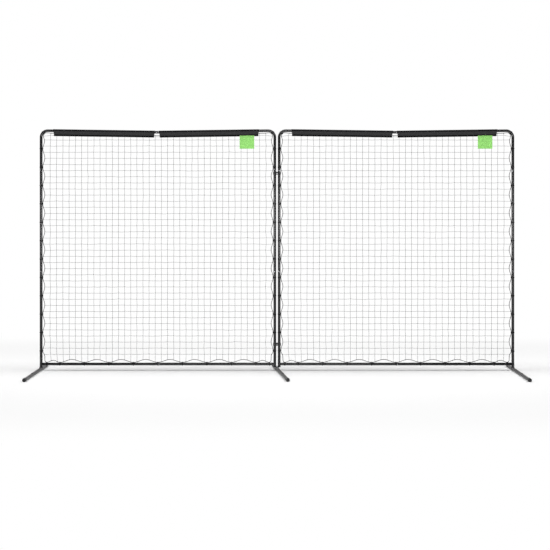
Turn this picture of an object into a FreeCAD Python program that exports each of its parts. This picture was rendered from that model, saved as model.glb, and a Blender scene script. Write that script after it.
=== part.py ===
import FreeCAD, Part
import math
import os

# A free-standing ball stop net: two square panels of steel tube side by side, each with a flat net laced
# into it, on three ground tubes. X runs along the net, Y is the depth with the front at -Y, Z is up. The
# origin is on the ground in the middle of the whole object. All sizes are in millimetres.

# Frame tubes
frame_h = 3050.0
panel_w = 2957.0
tube_d = 35.0
tube_wall = 1.5
post_clear = 20.0
corner_r = 84.0
corner_leg = 430.0
lower_joint_z = 1240.0
top_sag = 20.0
bar_z = 80.0
seam = 1.0

# Tube joints: inner spigots and snap buttons
spigot_len = 120.0
spigot_wall = 2.0
stub_len = 70.0
run_clear = 0.08
button_d = 8.0
button_stand = 3.0
button_round = 1.6
button_offset = 15.0
button_flange_d = 13.0
button_flange_t = 1.5
spring_t = 0.8
spring_w = 8.0
spring_len = 34.0

# Feet
foot_front = 750.0
foot_rear = 280.0
foot_d = 38.0
foot_wall = 2.0
cap_wall = 3.0
cap_flat = 0.8
cap_len = 60.0
cap_end = 5.0
cap_round = 3.0
seat_rim = 4.0
seat_rise = 1.0
foot_spigot_h = 110.0
middle_foot_yaw = 10.0
peg_reach = 420.0
peg_d = 10.0
bush_wall = 1.9
bush_rim = 4.0
bush_rise = 3.5
plate_t = 4.0
washer_t = 1.5
nut_h = 6.5
stud_end = 2.0
stud_d = 8.0
nut_clear = 0.5

# Clips that hold the two middle posts together
clip_h = 36.0
clip_wall = 4.0
clip_split = 1.0
clip_web = 24.0
clip_low_z = 331.0
clip_high_drop = 24.0
screw_d = 5.0
screw_head_d = 8.5
screw_head_h = 3.0
screw_nut_h = 4.0
screw_head_round = 1.0
screw_tip = 1.0

# Net, border cord and lashings
mesh_pitch = 77.5
cord_d = 7.0
lash_d = 4.0
side_tie_cells = 3
bottom_tie_cells = 4
side_belly = 25.0
top_belly = 21.0
bottom_belly = 36.0
corner_belly = 25.0
first_tie_drop = 144.0
corner_drop = 50.0
corner_tie_turn = 45.0
corner_tie_x = 70.0
top_cord_drop = 32.0
top_cord_lead = 46.0
net_cols = 16
net_rows = 17
net_strand = 4.0
net_t = 2.5

# Sleeves and tag
cloth_t = 1.2
sleeve_drop = 70.0
hem_h = 8.0
sleeve_from_left = 155.0
sleeve_from_right = 203.0
sleeve_gap = 56.0
sleeve_gap_shift = -15.0
tag_w = 185.0
tag_h = 165.0
tag_t = 1.5
tag_from_right = 263.0

# Clearances between pieces that don't fit into each other
soft_gap = 0.4
turn_gap = 0.3

# Worked out from the sizes above
tube_r = tube_d / 2
bore_r = tube_r - tube_wall
spigot_r = bore_r - run_clear
spigot_bore_r = spigot_r - spigot_wall
button_r = button_d / 2
cord_r = cord_d / 2
lash_r = lash_d / 2
inner_x = (tube_d + post_clear) / 2
plane_y = (foot_front - foot_rear) / 2
half_w = panel_w / 2
top_z = frame_h - tube_r
bend_z = top_z - corner_r
upper_joint_z = bend_z - corner_leg
sag_angle = math.atan(top_sag / (half_w - corner_r))
cap_r = foot_d / 2 + turn_gap + cap_wall
foot_axis_z = cap_r - cap_flat
seat_z = foot_axis_z + foot_d / 2 + seat_rise
outer_post_z = seat_z + turn_gap
plate_z = seat_z + turn_gap
inner_post_z = plate_z + plate_t + turn_gap
tie_reach = tube_r + cord_r + turn_gap
nut_corner_r = post_clear / 2 - nut_clear
stud_r = stud_d / 2

x_axis = FreeCAD.Vector(1, 0, 0)
y_axis = FreeCAD.Vector(0, 1, 0)
z_axis = FreeCAD.Vector(0, 0, 1)
origin = FreeCAD.Vector(0, 0, 0)


def point(x, y, z):
    return FreeCAD.Vector(x, y, z)


def rod(start, end, radius):
    """A round bar from one point to another."""
    along = end - start
    return Part.makeCylinder(radius, along.Length, start, along)


def pipe(start, end, radius, bore):
    """A straight tube. Its bore runs right through."""
    return rod(start, end, radius).cut(rod(start, end, bore))


def swept(wire, start, tangent, radius):
    """A round section carried along a wire that starts at a known point and direction."""
    ring = Part.Wire(Part.Circle(start, tangent, radius).toShape())
    return wire.makePipeShell([ring], True, False)


def holed_face(wires):
    """A flat face. Every wire inside the first one is a hole."""
    return Part.makeFace(wires, "Part::FaceMakerBullseye")


def moved(shape, x, y, z):
    copy = shape.copy()
    copy.translate(point(x, y, z))
    return copy


def turned(shape, centre, axis, degrees):
    copy = shape.copy()
    copy.rotate(centre, axis, degrees)
    return copy


def arm_z(x):
    """Height of the top bar's centreline, which dips to the joint at mid span."""
    from_post = min(x, panel_w - x)
    return top_z - (from_post - corner_r) * math.tan(sag_angle)


# Frame tubes of one panel, with the left post's centreline at x = 0

def lower_post(x, foot_z, side):
    """A straight post with a hollow branch stub. side is 1 if the bottom bar runs to +X from it."""
    body = rod(point(x, 0, foot_z), point(x, 0, lower_joint_z - seam / 2), tube_r)
    stub_end = point(x + side * (tube_r + stub_len), 0, bar_z)
    body = body.fuse(rod(point(x, 0, bar_z), stub_end, spigot_r))
    hollow = rod(point(x + side * (tube_r + tube_wall), 0, bar_z), stub_end, spigot_bore_r)
    bore = rod(point(x, 0, foot_z), point(x, 0, lower_joint_z), bore_r)
    return body.cut(hollow).cut(bore)


def middle_post(x):
    low = point(x, 0, lower_joint_z + seam / 2)
    return pipe(low, point(x, 0, upper_joint_z - seam / 2), tube_r, bore_r)


def corner_tube():
    """The bent tube at the left: post top, rounded corner and half of the top bar."""
    start = point(0, 0, upper_joint_z + seam / 2)
    bend_in = point(0, 0, bend_z)
    bend_centre = point(corner_r, 0, bend_z)
    out_angle = math.pi / 2 - sag_angle
    half_angle = (math.pi + out_angle) / 2

    def round_bend(angle):
        return bend_centre + point(corner_r * math.cos(angle), 0, corner_r * math.sin(angle))

    bend_out = round_bend(out_angle)
    arm_len = (half_w - seam / 2 - bend_out.x) / math.cos(sag_angle)
    end = bend_out + point(arm_len * math.cos(sag_angle), 0, -arm_len * math.sin(sag_angle))
    path = Part.Wire([
        Part.LineSegment(start, bend_in).toShape(),
        Part.Arc(bend_in, round_bend(half_angle), bend_out).toShape(),
        Part.LineSegment(bend_out, end).toShape(),
    ])
    return swept(path, start, z_axis, tube_r).cut(swept(path, start, z_axis, bore_r))


def mirrored(shape):
    """The same piece at the other end of the panel."""
    return shape.mirror(point(half_w, 0, 0), x_axis)


def bottom_bar():
    """The left half of the bottom bar, coped to the post and slid over its stub."""
    bar = rod(point(0, 0, bar_z), point(half_w - seam / 2, 0, bar_z), tube_r)
    bar = bar.cut(rod(point(0, 0, bar_z), point(half_w, 0, bar_z), bore_r))
    cope = rod(point(0, 0, bar_z - tube_d), point(0, 0, bar_z + tube_d), tube_r + turn_gap)
    return bar.cut(cope)


# Tube joints. Each is a place on a tube's centreline and the tilt of the tube from upright there.

def panel_joints():
    left_tilt = math.degrees(sag_angle) - 90
    return {
        "left_lower": (point(0, 0, lower_joint_z), 0),
        "left_upper": (point(0, 0, upper_joint_z), 0),
        "right_lower": (point(panel_w, 0, lower_joint_z), 0),
        "right_upper": (point(panel_w, 0, upper_joint_z), 0),
        "top": (point(half_w, 0, arm_z(half_w)), left_tilt),
        "bottom": (point(half_w, 0, bar_z), 90),
    }


def stand_at(shape, joint):
    """Carries a piece made round the origin, along Z, to a joint."""
    place, tilt = joint
    return moved(turned(shape, origin, y_axis, tilt), place.x, place.y, place.z)


def button_hole():
    middle = point(0, 0, button_offset)
    return rod(middle, middle - y_axis * (tube_r + tube_wall), button_r + run_clear)


def spigot(bend):
    """The inner sleeve of a joint. Its lower half turns aside by bend degrees, as the top bar does."""
    half = point(0, 0, spigot_len / 2)
    upper = rod(origin, half, spigot_r)
    lower = turned(rod(origin - half, origin, spigot_r), origin, y_axis, bend)
    knee = Part.makeSphere(spigot_r, origin)
    body = upper.fuse([lower, knee]) if bend else rod(origin - half, half, spigot_r)
    bore = rod(origin, half * 2, spigot_bore_r)
    lower_bore = turned(rod(origin - half * 2, origin, spigot_bore_r), origin, y_axis, bend)
    body = body.cut(bore).cut(lower_bore).cut(Part.makeSphere(spigot_bore_r, origin))
    return body.cut(button_hole())


def flange_face():
    """How far in front of the centreline the button's flange meets the spigot's bore."""
    return math.sqrt(spigot_bore_r ** 2 - (button_flange_d / 2) ** 2) - turn_gap


def button():
    middle = point(0, 0, button_offset)
    face = flange_face()
    head = rod(middle - y_axis * face, middle - y_axis * (tube_r + button_stand), button_r)
    tip = min(head.Edges, key=lambda edge: edge.BoundBox.YMax)
    head = head.makeFillet(button_round, [tip])
    flange = rod(middle - y_axis * (face - button_flange_t), middle - y_axis * face, button_flange_d / 2)
    return head.fuse(flange).removeSplitter()


def button_spring():
    """A leaf bent to a V: one arm lies on the spigot's back wall, the other behind the button."""
    back = math.sqrt(spigot_bore_r ** 2 - (spring_w / 2) ** 2) - turn_gap
    front = -(flange_face() - button_flange_t - turn_gap)
    high = button_offset + button_r
    low = button_offset - spring_len
    outline = [
        (back, high), (back, low), (back - spring_t, low), (front, high - button_d), (front, high),
        (front + spring_t, high), (front + spring_t, high - button_d + spring_t),
        (back - spring_t, low + 3 * spring_t), (back - spring_t, high), (back, high),
    ]
    corners = [point(-spring_w / 2, y, z) for y, z in outline]
    return Part.Face(Part.makePolygon(corners)).extrude(x_axis * spring_w)


# Border cord: places on it, each with the cord's direction there, joined by pairs of tangent arcs

def tie_pattern():
    """Heights of the ties on a post, and their places along the bottom bar."""
    side_pitch = side_tie_cells * mesh_pitch
    bottom_pitch = bottom_tie_cells * mesh_pitch
    first = bend_z - first_tie_drop
    count = int((first - bar_z - side_pitch / 2) / side_pitch) + 1
    heights = [first - side_pitch * k for k in range(count)]
    reach = int((half_w - corner_tie_x - bottom_pitch / 3) / bottom_pitch)
    along = [half_w + bottom_pitch * k for k in range(-reach, reach + 1)]
    return heights, [corner_tie_x] + along + [panel_w - corner_tie_x]


def on_bend(radius):
    """Where the corner tie's line crosses a circle about the top left bend's centre."""
    turn = math.radians(corner_tie_turn)
    return point(corner_r - radius * math.cos(turn), 0, bend_z + radius * math.sin(turn))


def corner_tie():
    """The cord's place inside the top left bend, and its direction down along the bend."""
    turn = math.radians(corner_tie_turn)
    return on_bend(corner_r - tie_reach), point(-math.sin(turn), 0, -math.cos(turn))


def left_side_route():
    """From mid span of the top bar, down the left post and along the bottom bar to mid span."""
    heights, along = tie_pattern()
    down = point(0, 0, -1)
    rise = point(-math.cos(sag_angle), 0, math.sin(sag_angle))
    lead_x = corner_r + top_cord_lead
    route = [
        (point(half_w, 0, arm_z(half_w) - top_cord_drop), x_axis * -1),
        (point(lead_x, 0, arm_z(lead_x) - top_cord_drop), rise),
        corner_tie(),
        (point(tie_reach + top_belly, 0, bend_z - corner_drop), down),
    ]
    for high, low in zip(heights, heights[1:]):
        route.append((point(tie_reach, 0, high), down))
        route.append((point(tie_reach + side_belly, 0, (high + low) / 2), down))
    last = heights[-1]
    bar_top = bar_z + tie_reach
    route.append((point(tie_reach, 0, last), down))
    route.append((point(tie_reach + side_belly, 0, (last + bar_top) / 2), down))
    for left, right in zip(along, along[1:]):
        if left >= half_w:
            break
        belly = corner_belly if left == along[0] else bottom_belly
        route.append((point(left, 0, bar_top), x_axis))
        route.append((point((left + right) / 2, 0, bar_top + belly), x_axis))
    route.append((point(half_w, 0, bar_top), x_axis))
    return route


def arc_or_line(start, end, tangent):
    """The arc from start to end that leaves start along tangent, or a line where it hardly turns."""
    chord = end - start
    angle = tangent.getAngle(chord)
    if angle < 0.0005:
        return Part.LineSegment(start, end).toShape()
    aside = tangent - chord * (tangent.dot(chord) / chord.dot(chord))
    aside.normalize()
    middle = start + chord * 0.5 + aside * (chord.Length / 2 * math.tan(angle / 2))
    return Part.Arc(start, middle, end).toShape()


def biarc(start, start_dir, end, end_dir):
    """Two arcs with one direction where they meet."""
    across = end - start
    both = start_dir + end_dir
    turn = 1 - start_dir.dot(end_dir)
    if turn < 1e-9:
        reach = across.dot(across) / (4 * across.dot(end_dir))
    else:
        lean = across.dot(both)
        reach = (math.sqrt(lean ** 2 + 2 * turn * across.dot(across)) - lean) / (2 * turn)
    meet = (start + start_dir * reach + end - end_dir * reach) * 0.5
    meet_dir = (end - end_dir * reach) - (start + start_dir * reach)
    meet_dir.normalize()
    return [arc_or_line(start, meet, start_dir), arc_or_line(meet, end, meet_dir)]


def border_cord():
    """The net's edge cord, in two lengths that meet at mid span above and below."""
    route = left_side_route()
    edges = []
    for (start, start_dir), (end, end_dir) in zip(route, route[1:]):
        edges += biarc(start, start_dir, end, end_dir)
    tightest = min(edge.Curve.Radius for edge in edges if edge.Curve.TypeId == "Part::GeomCircle")
    print("border cord", round(2 * sum(edge.Length for edge in edges)), "mm, tightest bend", round(tightest))
    half = swept(Part.Wire(edges), route[0][0], route[0][1], cord_r)
    return Part.makeCompound([half, mirrored(half)])


# Lashings: a ring of cord round the tube and the border cord

def lashing():
    """A ring about the origin in the XY plane, with the border cord at +X."""
    big = tube_r + turn_gap + lash_r
    small = cord_r + turn_gap + lash_r
    angle = math.acos((big - small) / tie_reach)

    def on(radius, centre_x, theta):
        return point(centre_x + radius * math.cos(theta), radius * math.sin(theta), 0)

    big_up = on(big, 0, angle)
    big_down = on(big, 0, -angle)
    small_up = on(small, tie_reach, angle)
    small_down = on(small, tie_reach, -angle)
    path = Part.Wire([
        Part.Arc(big_up, on(big, 0, math.pi), big_down).toShape(),
        Part.LineSegment(big_down, small_down).toShape(),
        Part.Arc(small_down, on(small, tie_reach, 0), small_up).toShape(),
        Part.LineSegment(small_up, big_up).toShape(),
    ])
    start_dir = point(-math.sin(angle), math.cos(angle), 0)
    return swept(path, big_up, start_dir, lash_r)


def lashings():
    """Every lashing of a panel, each turned to face the cord."""
    ring = lashing()
    heights, along = tie_pattern()
    rings = [moved(ring, 0, 0, z) for z in heights]
    rings += [moved(turned(ring, origin, z_axis, 180), panel_w, 0, z) for z in heights]
    upright = turned(ring, origin, y_axis, -90)
    rings += [moved(upright, x, 0, bar_z) for x in along]
    bend_place = on_bend(corner_r)
    at_bend = moved(turned(ring, origin, y_axis, corner_tie_turn), bend_place.x, 0, bend_place.z)
    return rings + [at_bend, mirrored(at_bend)]


# Net, sleeves and tag

def net():
    """A flat net as one holed sheet. Its top edge follows the dip of the top bar."""
    left = tie_reach + side_belly + cord_r + soft_gap
    right = panel_w - left
    low = bar_z + tie_reach + bottom_belly + cord_r + soft_gap

    def height(x, share):
        high = arm_z(x) - sleeve_drop - soft_gap
        return low + (high - low) * share

    def corner(x, share):
        return point(x, -net_t / 2, height(x, share))

    def loop(corners):
        return Part.makePolygon(corners + corners[:1])

    outline = loop([corner(left, 0), corner(right, 0), corner(right, 1), corner(half_w, 1), corner(left, 1)])
    pitch = (right - left - net_strand) / net_cols
    row = 1.0 / net_rows
    edge = net_strand / (height(half_w, 1) - low)
    holes = []
    for col in range(net_cols):
        x0 = left + net_strand + pitch * col
        x1 = x0 + pitch - net_strand
        for k in range(net_rows):
            low_share = edge + (1 - edge) * row * k
            high_share = low_share + (1 - edge) * row - edge
            holes.append(loop([
                corner(x0, low_share), corner(x1, low_share), corner(x1, high_share), corner(x0, high_share),
            ]))
    return holed_face([outline] + holes).extrude(y_axis * net_t)


def tangent_on(radius, x, z):
    """Where a line from (x, z) touches the circle about the origin, on the +X side."""
    angle = math.atan2(z, x) + math.acos(radius / math.hypot(x, z))
    return point(0, radius * math.cos(angle), radius * math.sin(angle))


def flipped(p):
    return point(p.x, -p.y, p.z)


def drop_outline(radius, foot):
    """A drop shape in the YZ plane: a circle whose sides run straight down to the foot's points."""
    touch = tangent_on(radius, foot[0].y, foot[0].z)
    over = Part.Arc(touch, point(0, 0, radius), flipped(touch)).toShape()
    ends = [touch] + foot + [flipped(p) for p in reversed(foot) if p.y > 0] + [flipped(touch)]
    sides = [Part.LineSegment(a, b).toShape() for a, b in zip(ends, ends[1:])]
    return Part.Wire(Part.__sortEdges__([over] + sides))


def sleeve(x0, x1):
    """A cloth tunnel round the top bar, sewn together in a flat hem below it."""
    neck = -(sleeve_drop - hem_h)
    outer_foot = [point(0, cloth_t, neck), point(0, cloth_t, -sleeve_drop)]
    inner_foot = [point(0, 0, neck + cloth_t)]
    outer = drop_outline(tube_r + soft_gap + cloth_t, outer_foot)
    inner = drop_outline(tube_r + soft_gap, inner_foot)
    length = (x1 - x0) / math.cos(sag_angle)
    body = holed_face([outer, inner]).extrude(x_axis * length)
    slope = 1 if x0 < half_w - sleeve_gap else -1
    body = turned(body, origin, y_axis, slope * math.degrees(sag_angle))
    return moved(body, x0, 0, arm_z(x0))


def sleeve_ends():
    gap_mid = half_w + sleeve_gap_shift
    left = (sleeve_from_left, gap_mid - sleeve_gap / 2)
    right = (gap_mid + sleeve_gap / 2, panel_w - sleeve_from_right)
    return left, right


def tag():
    right = panel_w - tag_from_right
    high = arm_z(right - tag_w) - sleeve_drop - soft_gap
    front = -(net_t / 2 + soft_gap + tag_t)
    return Part.makeBox(tag_w, tag_t, tag_h, point(right - tag_w, front, high - tag_h))


# One whole panel as named pieces

def panel(side):
    """side is left or right. The post beside the other panel is the inner one."""
    names = ("outer", "inner") if side == "left" else ("inner", "outer")
    foot_z = {"outer": outer_post_z, "inner": inner_post_z}
    left, right = names
    joints = panel_joints()
    holes = {name: stand_at(button_hole(), joint) for name, joint in joints.items()}
    pieces = {}
    pieces[left + "_lower_post"] = lower_post(0, foot_z[left], 1)
    pieces[right + "_lower_post"] = lower_post(panel_w, foot_z[right], -1)
    pieces[left + "_middle_post"] = middle_post(0).cut(holes["left_lower"])
    pieces[right + "_middle_post"] = middle_post(panel_w).cut(holes["right_lower"])
    pieces[left + "_corner_tube"] = corner_tube().cut(holes["left_upper"]).cut(holes["top"])
    pieces[right + "_corner_tube"] = mirrored(corner_tube()).cut(holes["right_upper"])
    pieces[left + "_bottom_bar"] = bottom_bar()
    pieces[right + "_bottom_bar"] = mirrored(bottom_bar()).cut(holes["bottom"])
    bend = -2 * math.degrees(sag_angle)
    spigots = [stand_at(spigot(bend if name == "top" else 0), joint) for name, joint in joints.items()]
    pieces["joint_spigots"] = Part.makeCompound(spigots)
    springs = [stand_at(button_spring(), joint) for joint in joints.values()]
    pieces["button_springs"] = Part.makeCompound(springs)
    for name, joint in joints.items():
        word = name.replace("left", left).replace("right", right)
        pieces[word + "_button"] = stand_at(button(), joint)
    pieces["border_cord"] = border_cord()
    pieces["lashings"] = Part.makeCompound(lashings())
    pieces["net"] = net()
    first, second = sleeve_ends()
    pieces[left + "_sleeve"] = sleeve(*first)
    pieces[right + "_sleeve"] = sleeve(*second)
    pieces["tag"] = tag()
    shift = -(inner_x + panel_w) if side == "left" else inner_x
    return {side + "_" + name: moved(shape, shift, plane_y, 0) for name, shape in pieces.items()}


# Clips between the middle posts, centred between the posts

def clip_body():
    posts = [point(-inner_x, 0, 0), point(inner_x, 0, 0)]
    up = point(0, 0, clip_h)
    body = Part.makeBox(2 * inner_x, clip_web, clip_h, point(-inner_x, -clip_web / 2, 0))
    for post in posts:
        body = body.fuse(rod(post, post + up, tube_r + turn_gap + clip_wall))
    for post in posts:
        body = body.cut(rod(post, post + up, tube_r + turn_gap))
    body = body.cut(rod(point(0, -tube_d, clip_h / 2), point(0, tube_d, clip_h / 2), screw_d / 2 + run_clear))
    return body.removeSplitter()


def clip_half(front):
    depth = 2 * tube_d
    keep = Part.makeBox(4 * tube_d + post_clear, depth, clip_h, point(-2 * tube_d - post_clear / 2, 0, 0))
    start = -depth - clip_split / 2 if front else clip_split / 2
    return clip_body().common(moved(keep, 0, start, 0))


def clip_screw():
    z = clip_h / 2
    face = clip_web / 2
    shank = rod(point(0, -face, z), point(0, face + screw_nut_h + screw_tip, z), screw_d / 2)
    head = rod(point(0, -face - screw_head_h, z), point(0, -face, z), screw_head_d / 2)
    rim = min(head.Edges, key=lambda edge: edge.BoundBox.YMax)
    return shank.fuse(head.makeFillet(screw_head_round, [rim])).removeSplitter()


def hexagon(radius, height):
    corners = [point(radius * math.cos(math.radians(60 * k)), radius * math.sin(math.radians(60 * k)), 0)
               for k in range(7)]
    return Part.Face(Part.makePolygon(corners)).extrude(z_axis * height)


def clip_nut():
    hole = rod(origin, z_axis * screw_nut_h, screw_d / 2 + run_clear)
    nut = hexagon(screw_head_d / 2, screw_nut_h).cut(hole)
    return moved(turned(nut, origin, x_axis, -90), 0, clip_web / 2, clip_h / 2)


def clips():
    places = [clip_low_z - clip_h / 2, upper_joint_z - clip_high_drop - clip_h / 2]

    def both(shape):
        return [moved(shape, 0, plane_y, z) for z in places]

    return {
        "clip_front_halves": Part.makeCompound(both(clip_half(True))),
        "clip_back_halves": Part.makeCompound(both(clip_half(False))),
        "clip_screws": Part.makeCompound(both(clip_screw()) + both(clip_nut())),
    }


# Feet, with the post or pivot axis at the origin and the front at -Y

def foot_tube():
    """A ground tube with a raised seat over its post or pivot axis."""
    front = point(0, -(foot_front - cap_end), foot_axis_z)
    rear = point(0, foot_rear - cap_end, foot_axis_z)
    body = rod(front, rear, foot_d / 2)
    body = body.fuse(rod(point(0, 0, foot_axis_z), point(0, 0, seat_z), tube_r + seat_rim))
    body = body.cut(rod(front, rear, foot_d / 2 - foot_wall))
    hole_r = peg_d / 2 + bush_wall + run_clear
    return body.cut(rod(point(0, -peg_reach, 0), point(0, -peg_reach, 2 * seat_z), hole_r)).removeSplitter()


def foot_spigot():
    """The short tube on an outer foot's seat that the post turns on."""
    return pipe(point(0, 0, seat_z), point(0, 0, seat_z + foot_spigot_h), spigot_r, spigot_bore_r)


def foot_cap():
    """A moulded cap over the front end of the ground tube, flat underneath."""
    tip = point(0, -foot_front, foot_axis_z)
    body = rod(tip, tip + y_axis * cap_len, cap_r)
    rims = [edge for edge in body.Edges if edge.Curve.TypeId == "Part::GeomCircle"]
    outer_rim = min(rims, key=lambda edge: edge.BoundBox.YMax)
    body = body.makeFillet(cap_round, [outer_rim])
    body = body.cut(rod(tip + y_axis * cap_end, tip + y_axis * (cap_len + 1), foot_d / 2 + turn_gap / 2))
    ground = Part.makeBox(4 * cap_r, 2 * cap_len, cap_r, point(-2 * cap_r, -foot_front - cap_end, -cap_r))
    return body.cut(ground)


def foot_caps():
    front = foot_cap()
    rear = turned(front, origin, z_axis, 180)
    return Part.makeCompound([front, moved(rear, 0, foot_rear - foot_front, 0)])


def peg_bush():
    """A moulded bush through the foot tube, with a rim saddled on the tube."""
    centre = point(0, -peg_reach, 0)
    wall_r = peg_d / 2 + bush_wall
    low = foot_axis_z - foot_d / 2
    top = foot_axis_z + foot_d / 2 + bush_rise
    in_tube = centre + z_axis * foot_axis_z
    rim = rod(in_tube, centre + z_axis * top, wall_r + bush_rim)
    saddle = rod(in_tube - y_axis * foot_d, in_tube + y_axis * foot_d, foot_d / 2 + run_clear)
    body = rim.cut(saddle).fuse(rod(centre + z_axis * low, centre + z_axis * top, wall_r))
    return body.cut(rod(centre, centre + z_axis * 2 * top, peg_d / 2)).removeSplitter()


def foot(name, x, yaw):
    pieces = {"tube": foot_tube(), "caps": foot_caps(), "peg_bush": peg_bush()}
    pieces.update({"pivot": pivot()} if name == "middle" else {"spigot": foot_spigot()})
    return {name + "_foot_" + word: moved(turned(shape, origin, z_axis, yaw), x, plane_y, 0)
            for word, shape in pieces.items()}


def bridge_plate():
    """The plate that turns on the middle foot's seat and carries both middle posts."""
    rim = tube_r + seat_rim
    body = Part.makeBox(2 * inner_x, 2 * rim, plate_t, point(-inner_x, -rim, plate_z))
    for x in (-inner_x, inner_x):
        low = point(x, 0, plate_z)
        body = body.fuse(rod(low, low + z_axis * plate_t, rim))
        body = body.fuse(rod(low, low + z_axis * (plate_t + foot_spigot_h), spigot_r))
    for x in (-inner_x, inner_x):
        low = point(x, 0, plate_z + plate_t)
        body = body.cut(rod(low, low + z_axis * (foot_spigot_h + 1), spigot_bore_r))
    body = body.cut(rod(point(0, 0, plate_z - 1), point(0, 0, plate_z + plate_t + 1), stud_r + run_clear))
    return moved(body.removeSplitter(), 0, plane_y, 0)


def pivot():
    """The stud on the middle foot's seat, with the washer and lock nut that keep the bridge plate on it."""
    low = inner_post_z
    high = low + washer_t + nut_h
    stud = rod(z_axis * seat_z, z_axis * (high + stud_end), stud_r)
    hole_r = stud_r + run_clear
    washer = pipe(z_axis * low, z_axis * (low + washer_t), nut_corner_r, hole_r)
    nut = moved(hexagon(nut_corner_r, nut_h), 0, 0, low + washer_t)
    nut = nut.cut(rod(z_axis * low, z_axis * (high + 1), hole_r))
    return Part.makeCompound([stud, washer, nut])


def whole_object():
    outer_x = inner_x + panel_w
    nodes = {}
    nodes.update(panel("left"))
    nodes.update(panel("right"))
    nodes.update(clips())
    nodes.update(foot("left", -outer_x, 0))
    nodes.update(foot("middle", 0, middle_foot_yaw))
    nodes.update(foot("right", outer_x, 0))
    nodes["middle_foot_bridge"] = bridge_plate()
    return nodes


os.makedirs("parts", exist_ok=True)
for node, shape in whole_object().items():
    shape.exportStep("parts/" + node + ".step")
    state = "valid" if shape.isValid() else "BAD"
    print(node, len(shape.Solids), "solids", round(shape.Volume), "mm3", state)
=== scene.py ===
# %% [markdown]
# # A ball stop net, finished in Blender
# The real object is a pair of square frames of black steel tube, each with a flat black net laced into it.
# They stand side by side on three ground tubes. The hard pieces arrive here as finished shapes, so this
# file gives them paint, plastic and zinc, and makes the soft things: two nets, their edge ropes and
# lashings, four cloth sleeves on the top bars and two small cloth tags.

# %% Tools and the fixed frame
import math

import bpy
import numpy as np
from mathutils import Matrix, Vector, noise


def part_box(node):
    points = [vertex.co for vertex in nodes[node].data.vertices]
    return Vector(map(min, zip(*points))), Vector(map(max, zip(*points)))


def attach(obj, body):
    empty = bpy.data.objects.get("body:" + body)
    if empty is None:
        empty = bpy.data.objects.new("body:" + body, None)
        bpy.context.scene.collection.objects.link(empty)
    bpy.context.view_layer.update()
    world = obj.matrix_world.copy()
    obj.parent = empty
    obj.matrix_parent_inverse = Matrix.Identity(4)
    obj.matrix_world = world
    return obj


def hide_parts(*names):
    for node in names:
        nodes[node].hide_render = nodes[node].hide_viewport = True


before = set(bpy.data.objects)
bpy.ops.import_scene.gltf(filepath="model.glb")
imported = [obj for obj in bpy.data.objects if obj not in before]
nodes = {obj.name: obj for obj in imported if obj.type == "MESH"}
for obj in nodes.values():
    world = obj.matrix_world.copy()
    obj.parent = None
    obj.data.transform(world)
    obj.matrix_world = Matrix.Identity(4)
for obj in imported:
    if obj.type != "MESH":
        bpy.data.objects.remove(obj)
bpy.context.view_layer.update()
bpy.ops.object.select_all(action="DESELECT")
# Blender's vector noise starts from the clock, unless it is given a seed.
noise.seed_set(5)

# %% [markdown]
# Everything soft hangs on the tubes, so their places come first. Each panel is measured from its own
# tubes: the two posts, the bottom bar, and the top bar that dips a little to its joint at mid span.

# %% Measures of a panel
CORNER_R = 0.084
TOP_SAG = 0.020


class Panel:
    """One panel's tubes, in metres: first is the post at its left, last the post at its right."""

    def __init__(self, side):
        self.side = side
        self.first, self.last = ("outer", "inner") if side == "left" else ("inner", "outer")
        low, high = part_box(f"{side}_{self.first}_middle_post")
        self.tube_r = (high.x - low.x) / 2
        self.x0 = (low.x + high.x) / 2
        self.y = (low.y + high.y) / 2
        low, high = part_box(f"{side}_{self.last}_middle_post")
        self.x1 = (low.x + high.x) / 2
        low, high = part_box(f"{side}_{self.first}_bottom_bar")
        self.bar_z = (low.z + high.z) / 2
        self.top_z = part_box(f"{side}_{self.first}_corner_tube")[1].z - self.tube_r
        self.mid = (self.x0 + self.x1) / 2
        self.half_w = (self.x1 - self.x0) / 2
        self.bend_z = self.top_z - CORNER_R
        self.slope = math.atan(TOP_SAG / (self.half_w - CORNER_R))

    def arm_z(self, x):
        """Height of the top bar's centreline."""
        from_post = self.half_w - abs(x - self.mid)
        return self.top_z - (from_post - CORNER_R) * math.tan(self.slope)


panels = [Panel("left"), Panel("right")]
for panel in panels:
    print(panel.side, "panel: posts", round(panel.x0, 3), round(panel.x1, 3), "top", round(panel.top_z, 3))

# %% [markdown]
# The camera looks level across the lawn, from a little above head height, and its picture is shifted down
# instead of tilted, so that the posts stay upright. Its place follows from the feet: their front ends
# stand lower in the picture than the posts by an amount that fixes both distance and eye height.

# %% Camera
PICTURE = 550.0
POSTS_APART = 471.7
POSTS_MIDDLE = 277.0
HORIZON = 209.5
EYE_HEIGHT = 2.035
EYE_DISTANCE = 11.0
SENSOR = 36.0

plane_y = panels[0].y
object_w = panels[1].x1 - panels[0].x0
focal_pixels = POSTS_APART / object_w * EYE_DISTANCE
bpy.ops.object.camera_add(location=(0, plane_y - EYE_DISTANCE, EYE_HEIGHT), rotation=(math.pi / 2, 0, 0))
camera = bpy.context.object
camera.data.sensor_width = SENSOR
camera.data.lens = focal_pixels / PICTURE * SENSOR
camera.data.shift_x = (PICTURE / 2 - POSTS_MIDDLE) / PICTURE
camera.data.shift_y = (HORIZON - PICTURE / 2) / PICTURE
camera.data.clip_end = 200
bpy.context.scene.camera = camera
print("lens", round(camera.data.lens, 1), "mm, shift", round(camera.data.shift_y, 3))

# %% [markdown]
# Shaders are wired in code here. A few helpers keep that short: one fills a node's inputs with values or
# links, one makes a node, one does a sum, and one carries a value over from one range to another.


# %% Helpers for shader nodes
def fill(tree, node, inputs):
    """Sets each input to a value, or wires it to a socket."""
    for key, value in inputs.items():
        if isinstance(value, bpy.types.NodeSocket):
            tree.links.new(value, node.inputs[key])
        else:
            node.inputs[key].default_value = value


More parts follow.
